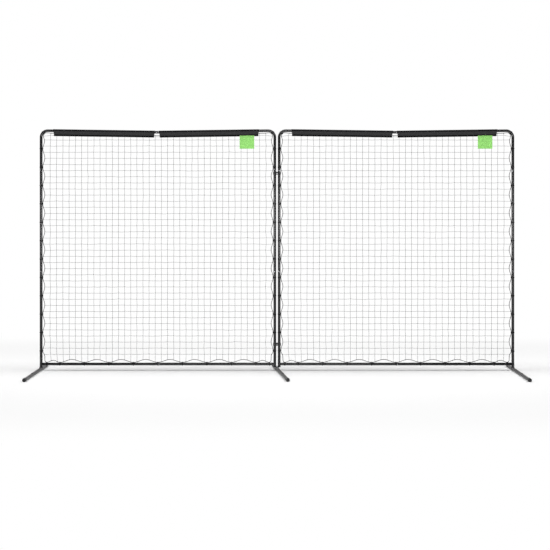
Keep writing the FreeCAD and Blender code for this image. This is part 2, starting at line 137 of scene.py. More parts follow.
def add_node(tree, kind, inputs=None, **settings):
    """A node with its settings, and its inputs filled."""
    node = tree.nodes.new("ShaderNode" + kind)
    for name, value in settings.items():
        setattr(node, name, value)
    fill(tree, node, inputs or {})
    return node


def calculate(tree, operation, *values):
    return add_node(tree, "Math", dict(enumerate(values)), operation=operation).outputs[0]


def remap(tree, value, source, target=(0.0, 1.0), smooth=False):
    """A value that runs over the target range while another runs over the source range."""
    kind = "SMOOTHSTEP" if smooth else "LINEAR"
    ends = dict(enumerate((value, *source, *target)))
    return add_node(tree, "MapRange", ends, interpolation_type=kind).outputs[0]


# %% [markdown]
# The photograph is a plain product picture: white all round, with one soft shadow under the bottom bars.
# White is a colour here, not light: a camera ray that misses the object sees plain white. Glossy rays see
# that white too, except towards the dim side of the room behind the camera, which keeps the tubes dark.

# %% World
WHITE = (1, 1, 1, 1)
WORLD_STRENGTH = 0.16
DIM_SIDE = 0.10
WHITE_FROM, WHITE_TO = 0.1, 0.95


def seen_or_mirrored(tree):
    """One for rays that see the background straight, mirrored or through glass, and nought for the rest."""
    path = add_node(tree, "LightPath").outputs
    seen = calculate(tree, "MAXIMUM", path["Is Camera Ray"], path["Is Glossy Ray"])
    return calculate(tree, "MAXIMUM", seen, path["Is Transmission Ray"])


def light_world():
    world = bpy.data.worlds.new("studio")
    bpy.context.scene.world = world
    world.use_nodes = True
    tree = world.node_tree
    soft = tree.nodes["Background"]
    fill(tree, soft, {"Color": WHITE, "Strength": WORLD_STRENGTH})
    direction = add_node(tree, "TexCoord").outputs["Generated"]
    towards = add_node(tree, "SeparateXYZ", {0: direction}).outputs["Y"]
    room = remap(tree, towards, (WHITE_FROM, WHITE_TO), (DIM_SIDE, 1.0), smooth=True)
    bright = calculate(tree, "MAXIMUM", room, add_node(tree, "LightPath").outputs["Is Camera Ray"])
    white = add_node(tree, "Background", {"Color": WHITE, "Strength": bright})
    mix = add_node(tree, "MixShader", {0: seen_or_mirrored(tree), 1: soft.outputs[0], 2: white.outputs[0]})
    fill(tree, tree.nodes["World Output"], {"Surface": mix.outputs[0]})


light_world()
print("world ready")

# %% [markdown]
# The floor has to look as white as the world and still hold a soft shadow. So it is a lit surface close to
# the object and plain white further out, with a smooth change between, read from its own coordinates.

# %% Floor
FLOOR_SIZE = 60.0
FLOOR_WHITE = 0.90
LIT_FROM, LIT_TO = 1.0, 3.2
ENDS_FROM, ENDS_TO = 3.8, 6.5


def white_floor():
    bpy.ops.mesh.primitive_plane_add(size=FLOOR_SIZE)
    floor = bpy.context.object
    floor.name = "floor"
    material = bpy.data.materials.new("studio_floor")
    material.use_nodes = True
    tree = material.node_tree
    lit = tree.nodes["Principled BSDF"]
    color = (FLOOR_WHITE, FLOOR_WHITE, FLOOR_WHITE, 1)
    fill(tree, lit, {"Base Color": color, "Roughness": 1.0, "Specular IOR Level": 0.0})
    place = add_node(tree, "SeparateXYZ", {0: add_node(tree, "TexCoord").outputs["Object"]}).outputs
    behind = remap(tree, calculate(tree, "ABSOLUTE", place["Y"]), (LIT_FROM, LIT_TO), smooth=True)
    aside = remap(tree, calculate(tree, "ABSOLUTE", place["X"]), (ENDS_FROM, ENDS_TO), smooth=True)
    share = calculate(tree, "MULTIPLY", seen_or_mirrored(tree), calculate(tree, "MAXIMUM", behind, aside))
    plain = add_node(tree, "Emission")
    mix = add_node(tree, "MixShader", {0: share, 1: lit.outputs[0], 2: plain.outputs[0]})
    fill(tree, tree.nodes["Material Output"], {"Surface": mix.outputs[0]})
    floor.data.materials.append(material)


white_floor()
print("floor ready")

# %% [markdown]
# A long strip overhead, in line with the nets, makes the narrow soft shadow under the bottom bars. A low
# wide panel in front leaves a thin grey gleam down the tubes, as in the photograph. A dimmer panel behind
# only lifts the colours there, and nothing mirrors it, because its gleam would thin the tubes' outlines.
# Both stand low, so that they hardly light the floor and spare the shadow.

# %% Lamps
STRIP_LAMP = {"at": (0, 0.14, 6.2), "tilt": 0, "size": (20, 1.1), "power": 765}
FRONT_LAMP = {"at": (0, -12.0, 1.73), "tilt": 90, "size": (6, 1.5), "power": 800}
BACK_LAMP = {"at": (0, 12.5, 1.73), "tilt": -90, "size": (6, 1.5), "power": 350, "mirrored": False}


def add_lamp(name, at, tilt, size, power, mirrored=True):
    """A rectangular soft lamp. It shines down at a tilt of nought, and to the back at 90 degrees."""
    bpy.ops.object.light_add(type="AREA", location=at, rotation=(math.radians(tilt), 0, 0))
    lamp = bpy.context.object
    lamp.name = name
    lamp.data.shape = "RECTANGLE"
    lamp.data.size, lamp.data.size_y = size
    lamp.data.energy = power
    lamp.visible_glossy = mirrored


add_lamp("strip_lamp", **STRIP_LAMP)
add_lamp("front_lamp", **FRONT_LAMP)
add_lamp("back_lamp", **BACK_LAMP)
bpy.context.scene.view_settings.view_transform = "Standard"
print("lamps ready")

# %% [markdown]
# Real surfaces are never one flat value. A few effects turn up on several materials here, so each is a
# node group with named inputs: the orange peel of sprayed powder, dust that settles on what faces up,
# rubbed streaks, the twist of twine and the over-and-under of woven cloth.

# %% A short way to write node groups
BLACK = (0, 0, 0, 1)


class Group:
    """A shader node group under construction."""

    def __init__(self, name, inputs, outputs):
        self.tree = bpy.data.node_groups.new(name, "ShaderNodeTree")
        for socket, kind, value in inputs:
            made = self.tree.interface.new_socket(socket, in_out="INPUT", socket_type="NodeSocket" + kind)
            if value is not None:
                made.default_value = value
        for socket, kind in outputs:
            self.tree.interface.new_socket(socket, in_out="OUTPUT", socket_type="NodeSocket" + kind)
        self.given = self.tree.nodes.new("NodeGroupInput").outputs
        self.result = self.tree.nodes.new("NodeGroupOutput")

    def add(self, kind, inputs=None, **settings):
        return add_node(self.tree, kind, inputs, **settings)

    def math(self, operation, *values):
        return calculate(self.tree, operation, *values)

    def place(self):
        return self.add("TexCoord").outputs["Object"]

    def clouds(self, place, scale, detail):
        """Noise from nought to one."""
        return self.add("TexNoise", {"Vector": place, "Scale": scale, "Detail": detail}).outputs[0]

    def mix(self, share, color):
        """The colour that came in, with a share of another over it."""
        inputs = {0: share, 6: self.given["Color"], 7: color}
        return self.add("Mix", inputs, data_type="RGBA").outputs[2]

    def give(self, **outputs):
        fill(self.tree, self.result, outputs)


# %% Grain: a fine random relief, for sprayed paint and moulded plastic
def make_grain():
    group = Group("grain", [("Scale", "Float", 900.0), ("Coarse", "Float", 0.25)], [("Height", "Float")])
    place = group.place()
    fine = group.clouds(place, group.given["Scale"], 2.0)
    wide = group.clouds(place, group.math("MULTIPLY", group.given["Scale"], group.given["Coarse"]), 1.0)
    group.give(Height=group.math("MULTIPLY_ADD", wide, 0.6, fine))
    return group.tree


grain = make_grain()
print("made", grain.name)

# %% Dust: settles on upward faces in soft patches
def make_dust():
    group = Group(
        "dust",
        [("Color", "Color", None), ("Dust", "Color", (0.42, 0.40, 0.36, 1)), ("Amount", "Float", 0.1)],
        [("Color", "Color"), ("Mask", "Float")],
    )
    up = group.add("SeparateXYZ", {0: group.add("NewGeometry").outputs["Normal"]}).outputs["Z"]
    facing = group.math("MAXIMUM", up, 0.12)
    patches = remap(group.tree, group.clouds(group.place(), 9.0, 6.0), (0.35, 0.75))
    specks = remap(group.tree, group.clouds(group.place(), 700.0, 3.0), (0.55, 0.8))
    settled = group.math("MULTIPLY", facing, group.math("MAXIMUM", patches, specks))
    mask = group.math("MULTIPLY", settled, group.given["Amount"])
    group.give(Color=group.mix(mask, group.given["Dust"]), Mask=mask)
    return group.tree


dust = make_dust()
print("made", dust.name)

# %% Rub: faint streaks where hands and grass have polished or scratched a surface
def make_rub():
    group = Group(
        "rub",
        [("Color", "Color", None), ("Bare", "Color", (0.2, 0.2, 0.2, 1)), ("Amount", "Float", 0.3),
         ("Stretch", "Vector", (60, 60, 6))],
        [("Color", "Color"), ("Mask", "Float")],
    )
    stretched = group.add("VectorMath", {0: group.place(), 1: group.given["Stretch"]}, operation="MULTIPLY")
    streaks = remap(group.tree, group.clouds(stretched.outputs[0], 1.0, 5.0), (0.6, 0.72))
    mask = group.math("MULTIPLY", streaks, group.given["Amount"])
    group.give(Color=group.mix(mask, group.given["Bare"]), Mask=mask)
    return group.tree


rub = make_rub()
print("made", rub.name)

# %% Twist: slanting bands, as on laid twine
def make_twist():
    group = Group(
        "twist",
        [("Color", "Color", None), ("Bands", "Float", 160.0), ("Furrow", "Float", 0.5)],
        [("Color", "Color"), ("Height", "Float")],
    )
    place = group.place()
    wave = {"Vector": place, "Scale": group.given["Bands"], "Distortion": 0.6, "Detail": 1.0}
    bands = group.add("TexWave", wave, wave_type="BANDS", bands_direction="DIAGONAL").outputs["Fac"]
    fibres = group.clouds(place, 2600.0, 2.0)
    # Darker in the furrows between the strands: painted shade.
    shade = group.math("MULTIPLY", group.math("SUBTRACT", 1.0, bands), group.given["Furrow"])
    group.give(Color=group.mix(shade, BLACK), Height=group.math("MULTIPLY_ADD", fibres, 0.35, bands))
    return group.tree


twist = make_twist()
print("made", twist.name)

# %% Weave: threads over and under, read from a UV map that is in metres
def make_weave():
    group = Group(
        "weave",
        [("Color", "Color", None), ("Threads", "Float", 1400.0), ("Gaps", "Float", 0.5)],
        [("Color", "Color"), ("Height", "Float")],
    )
    flat = group.add("UVMap").outputs[0]
    split = group.add("SeparateXYZ", {0: flat}).outputs
    turns = group.math("MULTIPLY", group.given["Threads"], math.pi)
    across, along = [group.math("SINE", group.math("MULTIPLY", split[axis], turns)) for axis in "XY"]
    crossed = group.math("MULTIPLY", across, along)
    height = group.math("MULTIPLY_ADD", group.clouds(flat, 420.0, 3.0), 0.7, crossed)
    # Darker where a thread dips under the next one: painted shade.
    shade = remap(group.tree, height, (-0.9, 1.2), (group.given["Gaps"], 0.0))
    group.give(Color=group.mix(shade, BLACK), Height=height)
    return group.tree


weave = make_weave()
print("node groups:", sorted(tree.name for tree in bpy.data.node_groups))

# %% [markdown]
# A material chains those groups: the paint's own colour, then rubbing, then dust, and a relief at the end.
# Values that are the same all over stay on the shader's own sockets.


# %% A short way to write materials
class Finish:
    """A Principled material whose colour and relief are built up step by step."""

    def __init__(self, name, color, **plain):
        self.material = bpy.data.materials.new(name)
        self.material.use_nodes = True
        self.tree = self.material.node_tree
        self.shader = self.tree.nodes["Principled BSDF"]
        self.color = (*color, 1)
        fill(self.tree, self.shader, {"Base Color": self.color})
        fill(self.tree, self.shader, {name.replace("_", " "): value for name, value in plain.items()})

    def use(self, group, **inputs):
        """Places a group, and passes the colour so far through it if it takes one."""
        node = add_node(self.tree, "Group", inputs, node_tree=group)
        if "Color" in node.inputs:
            fill(self.tree, node, {"Color": self.color})
            self.color = node.outputs["Color"]
            fill(self.tree, self.shader, {"Base Color": self.color})
        return node.outputs

    def rougher(self, mask, low, high):
        """Roughness runs from low to high as the mask goes from nought to one."""
        fill(self.tree, self.shader, {"Roughness": remap(self.tree, mask, (0.0, 1.0), (low, high))})

    def relief(self, height, depth):
        """Bumps of about that depth, in metres."""
        bump = add_node(self.tree, "Bump", {"Height": height, "Distance": depth, "Strength": 1.0})
        fill(self.tree, self.shader, {"Normal": bump.outputs[0]})


# %% [markdown]
# The frame is powder coated: baked plastic powder, glossy black, with a faint orange peel that breaks up
# the long gleams. A plain black would look like glass. The feet lie in the grass, so the same coat is
# duller and dustier there.

# %% Powder coat, on the frame and on the feet
DUST_ROUGHNESS = 0.85


def powder_coat(name, color, roughness, dusty):
    finish = Finish(name, color, Roughness=roughness, Specular_IOR_Level=0.35)
    finish.use(rub, Amount=0.1, Bare=(0.05, 0.05, 0.05, 1))
    settled = finish.use(dust, Amount=dusty)
    finish.rougher(settled["Mask"], roughness, DUST_ROUGHNESS)
    finish.relief(finish.use(grain, Scale=650.0, Coarse=0.3)["Height"], depth=0.00003)
    return finish.material


frame_paint = powder_coat("frame_paint", color=(0.005, 0.005, 0.006), roughness=0.20, dusty=0.03)
foot_paint = powder_coat("foot_paint", color=(0.020, 0.020, 0.022), roughness=0.32, dusty=0.15)
print("paints:", frame_paint.name, "and", foot_paint.name)

# %% [markdown]
# Foot caps, peg bushes and clips are moulded plastic, with a finer and deeper grain than paint. Buttons,
# screws and spigots are zinc plated, and the springs are bare steel. Metal takes its look from what it
# mirrors, so both only need a true metal's colour and short scratches that make it rougher in places.

# %% Moulded plastic, zinc plate and spring steel
SCRATCHES = {"Amount": 0.5, "Bare": (0.30, 0.30, 0.31, 1), "Stretch": (900, 900, 90)}


def moulded_plastic():
    roughness = 0.38
    finish = Finish("black_plastic", (0.010, 0.010, 0.011), Roughness=roughness, Specular_IOR_Level=0.3)
    finish.rougher(finish.use(dust, Amount=0.1)["Mask"], roughness, DUST_ROUGHNESS)
    finish.relief(finish.use(grain, Scale=1500.0, Coarse=0.2)["Height"], depth=0.00008)
    return finish.material


def plated_steel(name, color, roughness):
    finish = Finish(name, color, Metallic=1.0, Roughness=roughness)
    finish.rougher(finish.use(rub, **SCRATCHES)["Mask"], roughness, roughness + 0.2)
    finish.relief(finish.use(grain, Scale=2200.0, Coarse=0.2)["Height"], depth=0.00002)
    return finish.material


black_plastic = moulded_plastic()
zinc_steel = plated_steel("zinc_steel", color=(0.62, 0.63, 0.65), roughness=0.3)
spring_steel = plated_steel("spring_steel", color=(0.42, 0.43, 0.45), roughness=0.34)
print("small parts:", black_plastic.name, zinc_steel.name, spring_steel.name)

# %% [markdown]
# Net and ropes are black synthetic cord, matt and a little furry. The rope's strands are real geometry
# further on, but a net has hundreds of metres of twine, so its twist is only shade and bump.


# %% Twine, rope and sewing thread
def laid_cord(name, color, bands, furrow, depth):
    finish = Finish(name, color, Roughness=0.75, Specular_IOR_Level=0.1)
    finish.relief(finish.use(twist, Bands=bands, Furrow=furrow)["Height"], depth)
    return finish.material


net_twine = laid_cord("net_twine", (0.008, 0.008, 0.009), bands=150.0, furrow=0.5, depth=0.0004)
border_rope = laid_cord("border_rope", (0.006, 0.006, 0.007), bands=420.0, furrow=0.35, depth=0.0002)
thread = laid_cord("sewing_thread", (0.028, 0.028, 0.030), bands=900.0, furrow=0.3, depth=0.0001)
tag_thread = laid_cord("tag_thread", (0.16, 0.45, 0.09), bands=900.0, furrow=0.3, depth=0.0001)
print("cords:", net_twine.name, border_rope.name, thread.name, tag_thread.name)

# %% [markdown]
# The sleeves are woven polyester, the tapes a coarser and blacker weave, and the tags a fine bright one.
# On the tape over the top of each sleeve, that black is painted shade.
# The weave follows each cloth's own UV map in metres, so that its threads stay the same size however the
# cloth is rolled.


# %% Cloth for the sleeves, their tapes and the tags
def woven_cloth(name, color, threads, gaps, depth, roughness, dusty):
    finish = Finish(name, color, Roughness=roughness, Specular_IOR_Level=0.1)
    woven = finish.use(weave, Threads=threads, Gaps=gaps)
    finish.use(dust, Amount=dusty)
    finish.relief(woven["Height"], depth)
    return finish.material


sleeve_cloth = woven_cloth("sleeve_cloth", (0.040, 0.040, 0.042), threads=1100.0, gaps=0.45, depth=0.00018,
                           roughness=0.7, dusty=0.04)
# One black tape for the binding round the hem, and for the top tape, whose black is painted shade.
hem_and_shade_tape = woven_cloth("hem_and_shade_tape", (0.004, 0.004, 0.005), threads=800.0, gaps=0.5, depth=0.0003,
                       roughness=0.8, dusty=0.0)
tag_cloth = woven_cloth("tag_cloth", (0.34, 0.78, 0.20), threads=1700.0, gaps=0.12, depth=0.00008,
                        roughness=0.55, dusty=0.02)
print("cloths:", sleeve_cloth.name, hem_and_shade_tape.name, tag_cloth.name)

# %% [markdown]
# The hard pieces keep their shapes, and each takes the finish that its name calls for.

# %% Finishes for the hard pieces
FINISH_OF = {
    "foot_spigot": zinc_steel, "pivot": zinc_steel, "joint_spigots": zinc_steel, "button": zinc_steel,
    "screws": zinc_steel, "springs": spring_steel,
    "post": frame_paint, "corner_tube": frame_paint, "bottom_bar": frame_paint,
    "foot_tube": foot_paint, "bridge": foot_paint,
    "caps": black_plastic, "peg_bush": black_plastic, "halves": black_plastic,
}

painted = 0
for name, node in nodes.items():
    for word, finish in FINISH_OF.items():
        if name.endswith(word):
            node.material_slots[0].material = finish
            painted += 1
print("finished", painted, "hard pieces")

# %% [markdown]
# A rope runs round the edge of each net. It touches the tubes only where a lashing holds it, and bellies
# inwards between, because the net pulls on it. A Bezier curve suits it: the rope's place and direction are
# known at every tie and at every belly, and the curve is smooth between.

# %% Where the edge rope is tied
MESH = 0.0775
SIDE_TIE = 3 * MESH
BOTTOM_TIE = 4 * MESH
FIRST_TIE_DROP = 0.144
CORNER_TIE_X = 0.070


def tie_places(panel):
    """Heights of the ties on a post, and how far along the bottom bar each tie is."""
    first = panel.bend_z - FIRST_TIE_DROP
    count = int((first - panel.bar_z - SIDE_TIE / 2) / SIDE_TIE) + 1
    heights = [first - SIDE_TIE * k for k in range(count)]
    reach = int((panel.half_w - CORNER_TIE_X - BOTTOM_TIE / 3) / BOTTOM_TIE)
    along = [panel.half_w + BOTTOM_TIE * k for k in range(-reach, reach + 1)]
    return heights, [CORNER_TIE_X] + along + [2 * panel.half_w - CORNER_TIE_X]


heights, along = tie_places(panels[0])
print(len(heights), "ties on a post and", len(along), "along a bottom bar")

# %% The rope's route
ROPE_D = 0.007
ROPE_GAP = 0.0003
TOP_ROPE_DROP = 0.032
MID_ROPE_DROP = 0.043
TOP_ROPE_LEAD = 0.046
CORNER_DROP = 0.050
TOP_BELLY = 0.021
SIDE_BELLY = 0.025
CORNER_BELLY = 0.025
BOTTOM_BELLY = 0.036


def rope_reach(panel):
    """From a tube's middle to the rope's middle, where the rope is tied to it."""
    return panel.tube_r + ROPE_D / 2 + ROPE_GAP


def left_half_route(panel):
    """(x from the left post, z) and the rope's direction, from mid span above round to mid span below."""
    heights, along = tie_places(panel)
    reach = rope_reach(panel)
    down = (0, -1)
    lead_x = CORNER_R + TOP_ROPE_LEAD
    mid_z = panel.arm_z(panel.mid) - MID_ROPE_DROP
    lead_z = panel.arm_z(panel.x0 + lead_x) - TOP_ROPE_DROP
    lean = math.sqrt(0.5)
    inside = CORNER_R - reach
    route = [
        ((panel.half_w, mid_z), (-1, 0)),
        ((lead_x, lead_z), (-math.cos(panel.slope), math.sin(panel.slope))),
        ((CORNER_R - inside * lean, panel.bend_z + inside * lean), (-lean, -lean)),
        ((reach + TOP_BELLY, panel.bend_z - CORNER_DROP), down),
    ]
    low = panel.bar_z + reach
    for above, below in zip(heights, heights[1:] + [low]):
        route.append(((reach, above), down))
        route.append(((reach + SIDE_BELLY, (above + below) / 2), down))
    for left, right in zip(along, along[1:]):
        if left >= panel.half_w:
            break
        belly = CORNER_BELLY if left == along[0] else BOTTOM_BELLY
        route.append(((left, low), (1, 0)))
        route.append((((left + right) / 2, low + belly), (1, 0)))
    route.append(((panel.half_w, low), (1, 0)))
    return route


def whole_route(panel):
    """The closed loop, as (place, direction) pairs in the frame."""
    left = left_half_route(panel)
    right = [((2 * panel.half_w - x, z), (dx, -dz)) for (x, z), (dx, dz) in reversed(left[1:-1])]
    return [(Vector((panel.x0 + x, panel.y, z)), Vector((dx, 0, dz))) for (x, z), (dx, dz) in left + right]


routes = {panel.side: whole_route(panel) for panel in panels}
print("each edge rope has", len(routes["left"]), "known places")

# %% [markdown]
# Laid rope repeats itself with every turn of its strands, so only one turn is modelled: a circle with three
# lobes, screwed once along its axis. Array repeats it to the rope's whole length and Curve bends that along
# the path. This keeps real grooves all the way round at little cost.


# %% Helpers for finished pieces
def only(piece):
    """Makes one object the selected and active one."""
    bpy.ops.object.select_all(action="DESELECT")
    piece.select_set(True)
    bpy.context.view_layer.objects.active = piece


def new_object(name, data):
    made = bpy.data.objects.new(name, data)
    bpy.context.scene.collection.objects.link(made)
    return made


def join(pieces):
    """Joins pieces into the first one."""
    only(pieces[0])
    for piece in pieces:
        piece.select_set(True)
    bpy.ops.object.join()
    return bpy.context.object


def modify(piece, kind, **settings):
    """Adds a modifier and applies it."""
    only(piece)
    modifier = piece.modifiers.new(kind.lower(), kind)
    for name, value in settings.items():
        setattr(modifier, name, value)
    bpy.ops.object.modifier_apply(modifier=modifier.name)


def clean(piece, gap=0.00005):
    """Merges doubles, turns all faces outwards and shades the surface smooth."""
    only(piece)
    bpy.ops.object.mode_set(mode="EDIT")
    bpy.ops.mesh.select_all(action="SELECT")
    bpy.ops.mesh.remove_doubles(threshold=gap)
    bpy.ops.mesh.normals_make_consistent(inside=False)
    bpy.ops.object.mode_set(mode="OBJECT")
    bpy.ops.object.shade_smooth()


def place_copies(base, places):
    """Copies a small mesh to each place, a matrix, and joins the copies into one object."""
    copies = []
    for place in places:
        data = base.data.copy()
        data.transform(place)
        copies.append(new_object(base.name, data))
    bpy.data.objects.remove(base)
    return join(copies)


def finish_piece(piece, panel, word, material, replaced=None):
    """Names a panel's new piece, gives it its body and its finish, and hides the node that it stands for.
    """
    piece.name = piece.data.name = f"{panel.side}_{word}"
    piece.data.materials.clear()
    piece.data.materials.append(material)
    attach(piece, panel.side + "_panel")
    if replaced:
        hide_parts(f"{panel.side}_{replaced}")
    print(piece.name, len(piece.data.polygons), "faces")
    return piece


# %% One turn of three-strand rope
STRANDS = 3
ROPE_LAY = 0.024
GROOVE = 0.20
TURN_STEPS = 9


def rope_turn(lay):
    """One turn along +Z: every fourth point of the outline lies down in a groove between two strands."""
    bpy.ops.mesh.primitive_circle_add(vertices=4 * STRANDS, radius=ROPE_D / 2)
    turn = bpy.context.object
    for point in list(turn.data.vertices)[::4]:
        point.co *= 1 - GROOVE
    modify(turn, "SCREW", axis="Z", angle=2 * math.pi, screw_offset=lay, steps=TURN_STEPS,
           render_steps=TURN_STEPS)
    return turn


# %% The rope's path
HANDLE = 0.36


def smooth_loop(name, route):
    """A closed Bezier curve through the route, with its handles along each given direction."""
    data = bpy.data.curves.new(name, "CURVE")
    data.dimensions = "3D"
    data.twist_mode = "MINIMUM"
    data.resolution_u = 24
    spline = data.splines.new("BEZIER")
    spline.bezier_points.add(len(route) - 1)
    spline.use_cyclic_u = True
    places = [place for place, _ in route]
    for k, (knot, (place, way)) in enumerate(zip(spline.bezier_points, route)):
        back = (place - places[k - 1]).length
        ahead = (places[(k + 1) % len(places)] - place).length
        knot.co = place
        knot.handle_left_type = knot.handle_right_type = "FREE"
        knot.handle_left = place - way * back * HANDLE
        knot.handle_right = place + way * ahead * HANDLE
    return new_object(name, data)


def line_of(curve):
    """Points down the middle of a curve."""
    line = bpy.data.meshes.new_from_object(curve)
    points = np.array([v.co for v in line.vertices])
    bpy.data.meshes.remove(line)
    return points


def length_of(points):
    return np.linalg.norm(points - np.roll(points, 1, axis=0), axis=1).sum()


# %% Edge ropes
rope_lines = {}
for panel in panels:
    path = smooth_loop("edge_rope_path", routes[panel.side])
    rope_lines[panel.side] = line_of(path)
    total = length_of(rope_lines[panel.side])
    turns = round(total / ROPE_LAY)
    rope = rope_turn(total / turns)
    modify(rope, "ARRAY", count=turns, use_relative_offset=False, use_constant_offset=True,
           constant_offset_displace=(0, 0, total / turns), use_merge_vertices=True, merge_threshold=0.0001)
    modify(rope, "CURVE", object=path, deform_axis="POS_Z")
    bpy.data.objects.remove(path)
    clean(rope, gap=0.0002)
    finish_piece(rope, panel, "edge_rope", border_rope, "border_cord")
    print(panel.side, "edge rope", round(total, 3), "m,", turns, "turns")

# %% [markdown]
# Each lashing is a thinner cord, passed three times round the tube and the rope and tied off in front. Its
# loop is the tight outline round two circles, so it is worked out once as points. One lashing is modelled
# and then copied to all the places where the photograph shows the rope touching a tube.


# %% The outline of a lashing
def tight_outline(reach, big, small):
    """Points round a big circle at the origin and a small one at +X, from the middle of the front side."""
    angle = math.acos((big - small) / reach)
    round_big = [-angle - (2 * math.pi - 2 * angle) * k / 9 for k in range(10)]
    round_small = [angle - 2 * angle * k / 4 for k in range(5)]
    points = [(big * math.cos(a), big * math.sin(a)) for a in round_big]
    points += [(reach + small * math.cos(a), small * math.sin(a)) for a in round_small]
    middle = [(a + b) / 2 for a, b in zip(points[0], points[-1])]
    return [tuple(middle)] + points


# %% Round cord
def cord_mesh(name, lines, diameter):
    """Round cord along each line of points, as one mesh."""
    data = bpy.data.curves.new(name, "CURVE")
    data.dimensions = "3D"
    data.bevel_depth = diameter / 2
    data.bevel_resolution = 1
    data.use_fill_caps = True
    for points in lines:
        spline = data.splines.new("POLY")
        spline.points.add(len(points) - 1)
        spline.points.foreach_set("co", [v for point in points for v in (*point, 1)])
    only(new_object(name, data))
    bpy.ops.object.convert(target="MESH")
    return bpy.context.object


# %% One lashing, with its tube along Z and the rope at +X
LASH_D = 0.003
LASH_TURNS = 3
LASH_PITCH = 1.04 * LASH_D
KNOT_TURN_R = 0.003
TAIL = (0.004, -0.002, 0.008), (0.007, -0.002, 0.017)


def one_lashing(panel):
    """The wraps, then a tail up and a tail down from a knot in front, and the two turns of that knot."""
    reach = rope_reach(panel)
    slack = ROPE_GAP + LASH_D / 2
    outline = tight_outline(reach, panel.tube_r + slack, ROPE_D / 2 + slack)
    count = len(outline)
    wraps = []
    for step in range(LASH_TURNS * count + 1):
        x, y = outline[step % count]
        wraps.append((x, y, (step / count - LASH_TURNS / 2) * LASH_PITCH))
    front_x, front_y = outline[0]
    out = Vector((front_x - reach * 0.6, front_y, 0)).normalized()
    knot = Vector((front_x, front_y, 0)) + out * LASH_D
    lines = [wraps]
    for way, end in ((1, Vector(wraps[-1])), (-1, Vector(wraps[0]))):
        tail = [knot + Vector((x, y, -way * z)) for x, y, z in TAIL]
        lines.append([end, end + out * 0.003, knot + Vector((0, 0, -way * 0.003)) + out * 0.001] + tail)
    parts = [cord_mesh("lashing", lines, LASH_D)]
    for turn in (35, -35):
        bpy.ops.mesh.primitive_torus_add(
            location=knot, rotation=(math.radians(turn), math.radians(90), 0), major_radius=KNOT_TURN_R,
            minor_radius=LASH_D / 2, major_segments=9, minor_segments=6)
        parts.append(bpy.context.object)
    lashing = join(parts)
    bpy.ops.object.transform_apply(location=True, rotation=True, scale=True)
    bpy.ops.object.shade_smooth()
    return lashing


# %% Lashings in place
def lashing_places(panel):
    """On both posts, along the bottom bar and in the two top corners."""
    heights, along = tie_places(panel)
    places = []
    for z in heights:
        places.append(Matrix.Translation((panel.x0, panel.y, z)))
        places.append(Matrix.Translation((panel.x1, panel.y, z)) @ Matrix.Diagonal((-1, 1, 1, 1)))
    upright = Matrix.Rotation(-math.pi / 2, 4, "Y")
    for x in along:
        places.append(Matrix.Translation((panel.x0 + x, panel.y, panel.bar_z)) @ upright)
    lean = math.cos(math.pi / 4) * CORNER_R
    turn = Matrix.Rotation(math.radians(45), 4, "Y")
    for x, sign in ((panel.x0 + CORNER_R - lean, 1), (panel.x1 - CORNER_R + lean, -1)):
        mirror = Matrix.Diagonal((sign, 1, 1, 1))
        places.append(Matrix.Translation((x, panel.y, panel.bend_z + lean)) @ mirror @ turn)
    return places


for panel in panels:
    places = lashing_places(panel)
    lashings = place_copies(one_lashing(panel), places)
    clean(lashings, gap=0.000001)
    finish_piece(lashings, panel, "rope_lashings", border_rope, "lashings")
    print(len(places), "lashings")

# %% [markdown]
# The net starts as a plain grid. Its edge points move onto the rope, and then every inner point is pulled
# towards the middle of its four neighbours a number of times, as the twines of a real net pull on each
# other. So the cells bend near the scalloped rope and stay square further in.

# %% A plain grid with its edge on the rope
COLUMNS = 36
COLUMN_SHIFT = 0.004
ROWS = 36
TOP_ROW_RISE = 0.111
SLEEVE_DROP = 0.067
ROW_ABOVE = 0.010
SIDE_BAND = 0.2
SIDES_FROM, SIDES_TO = 0.14, 2.99
ABOVE_FROM = 2.95
BELOW_TO = 0.16


def crossing(line, known, wanted, keep):
    """How the rope's one coordinate depends on the other, over the part of it that keep picks."""
    part = line[keep]
    order = np.argsort(part[:, known])
    return lambda at: np.interp(at, part[order, known], part[order, wanted])


def net_knots(panel):
    """Places of the knots, as an array of columns and rows, with the outermost ones on the rope."""
    line = rope_lines[panel.side]
    x, z = line[:, 0], line[:, 2]
    upright = (z > SIDES_FROM) & (z < SIDES_TO)
    left = crossing(line, 2, 0, (x < panel.x0 + SIDE_BAND) & upright)
    right = crossing(line, 2, 0, (x > panel.x1 - SIDE_BAND) & upright)
    above = crossing(line, 0, 2, z > ABOVE_FROM)
    below = crossing(line, 0, 2, z < BELOW_TO)
    inner = panel.mid + COLUMN_SHIFT + MESH * (np.arange(COLUMNS) - (COLUMNS - 1) / 2)
    columns = np.concatenate([[panel.x0], inner, [panel.x1]])
    top_row = panel.bend_z - FIRST_TIE_DROP + TOP_ROW_RISE
    low, high = panel.bar_z + 0.04, panel.top_z - 0.04
    rows = np.concatenate([[low], top_row - MESH * np.arange(ROWS)[::-1], [high - 0.030, high]])
    knots = np.zeros((len(columns), len(rows), 3))
    knots[:, :, 0] = columns[:, None]
    knots[:, :, 1] = panel.y
    knots[:, :, 2] = rows[None, :]
    knots[0, :, 0] = left(rows)
    knots[-1, :, 0] = right(rows)
    knots[1:-1, 0, 2] = below(columns[1:-1])
    knots[1:-1, -1, 2] = above(columns[1:-1])
    for i, k in ((0, 0), (0, -1), (-1, 0), (-1, -1)):
        nearest = np.argmin(np.linalg.norm(line - knots[i, k], axis=1))
        knots[i, k] = line[nearest]
    dip = np.array([panel.arm_z(x) for x in columns]) - panel.top_z
    knots[1:-1, -2, 2] = (panel.top_z + dip - SLEEVE_DROP + ROW_ABOVE)[1:-1]
    return knots


# %% Pulled even
PULLS = 40


def amid_neighbours(knots):
    """The middle of each inner knot's four neighbours."""
    return (knots[2:, 1:-1] + knots[:-2, 1:-1] + knots[1:-1, 2:] + knots[1:-1, :-2]) / 4


